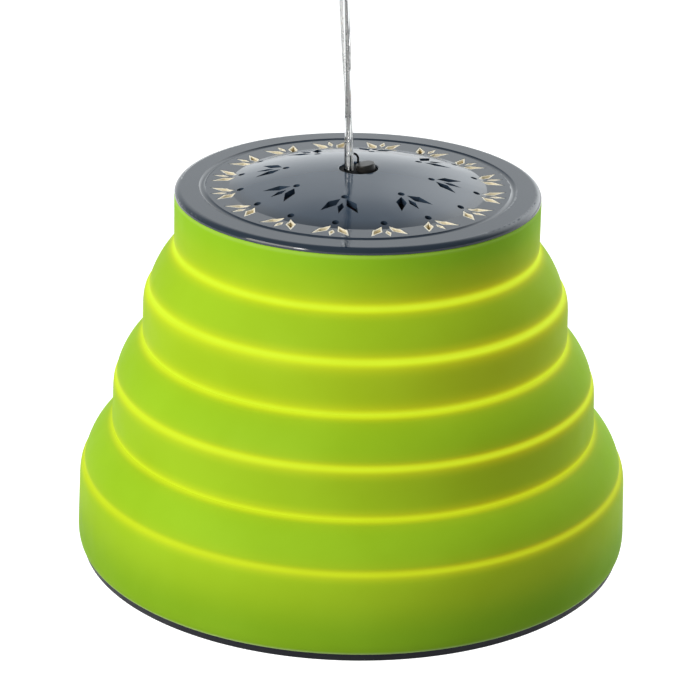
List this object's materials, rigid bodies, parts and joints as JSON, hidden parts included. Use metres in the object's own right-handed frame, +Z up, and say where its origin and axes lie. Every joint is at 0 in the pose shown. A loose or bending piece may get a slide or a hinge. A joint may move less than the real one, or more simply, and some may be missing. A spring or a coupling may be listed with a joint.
{
  "type": "folding pendant camping lantern",
  "caption": "Hanging camping lantern with a stepped folding silicone shade, vented round cap, push button, inner light tray and a clear flex that ends in a hanging eye.",
  "frame": {"origin": "centre of the hanging eye, from which the lantern hangs", "axes": "+Z up, along the lamp's own axis; -Y towards the viewer; +X to the viewer's right, the side of the push button"},
  "size_m": [0.261, 0.261, 0.3202],
  "materials": {
    "shade_silicone": "satin, slightly translucent",
    "cap_plastic": "gloss",
    "black_plastic": "satin",
    "cream_plastic": "satin",
    "white_plastic": "satin",
    "opal_plastic": "frosted",
    "clear_flex": "clear, glossy",
    "lead_insulation": "satin",
    "zinc_steel": "satin",
    "spring_steel": "bright",
    "brass_contact": "bright",
    "green_board": "satin",
    "board_parts": "satin",
    "white_board": "satin",
    "led_phosphor": "satin"
  },
  "bodies": {
    "hanging_eye": {"swivel_eye": "zinc_steel"},
    "lamp": {"top_cap": "cap_plastic", "vent_liner": "cream_plastic", "centre_bezel": "black_plastic", "retaining_loop": "black_plastic", "cord_bush": "black_plastic", "switch_body": "black_plastic", "switch_leads": "lead_insulation", "button_spring": "spring_steel", "supply_cord": "clear_flex", "flex_cores": "lead_insulation", "shade_wall_1": "shade_silicone", "fold_skin_1": "shade_silicone", "light_tray": "white_plastic", "tray_screws": "zinc_steel", "driver_board": "green_board", "driver_screws": "zinc_steel", "driver_parts": "board_parts", "terminal_block": "white_plastic", "led_board": "white_board", "led_screws": "zinc_steel", "led_chips": "led_phosphor", "led_leads": "lead_insulation", "diffuser": "opal_plastic", "hanger_shell_front": "black_plastic", "hanger_shell_back": "black_plastic", "hanger_screws": "zinc_steel", "hanger_grip": "black_plastic", "hanger_leads": "lead_insulation", "supply_inlet": "black_plastic", "inlet_pin": "brass_contact"},
    "button": {"push_button": "black_plastic"},
    "wall_2": {"shade_wall_2": "shade_silicone", "fold_skin_2": "shade_silicone"},
    "wall_3": {"shade_wall_3": "shade_silicone", "fold_skin_3": "shade_silicone"},
    "wall_4": {"shade_wall_4": "shade_silicone", "base_ring": "black_plastic"}
  },
  "joints": [
    {"name": "eye_swivel", "type": "hinge", "parent": "hanging_eye", "child": "lamp", "pos_m": [0, 0, 0], "axis": [0, 0, 1], "continuous": true},
    {"name": "button_press", "type": "slide", "parent": "lamp", "child": "button", "axis": [0.1736, 0, -0.9848], "range_m": [0, 0.0015], "stiffness_N_per_m": 600, "springref_m": -0.001, "deforming": ["button_spring"]},
    {"name": "fold_1", "type": "slide", "parent": "lamp", "child": "wall_2", "axis": [0, 0, 1], "range_m": [0, 0.0402], "deforming": ["fold_skin_1"]},
    {"name": "fold_2", "type": "slide", "parent": "wall_2", "child": "wall_3", "axis": [0, 0, 1], "range_m": [0, 0.0392], "deforming": ["fold_skin_2"]},
    {"name": "fold_3", "type": "slide", "parent": "wall_3", "child": "wall_4", "axis": [0, 0, 1], "range_m": [0, 0.0386], "deforming": ["fold_skin_3"]}
  ]
}
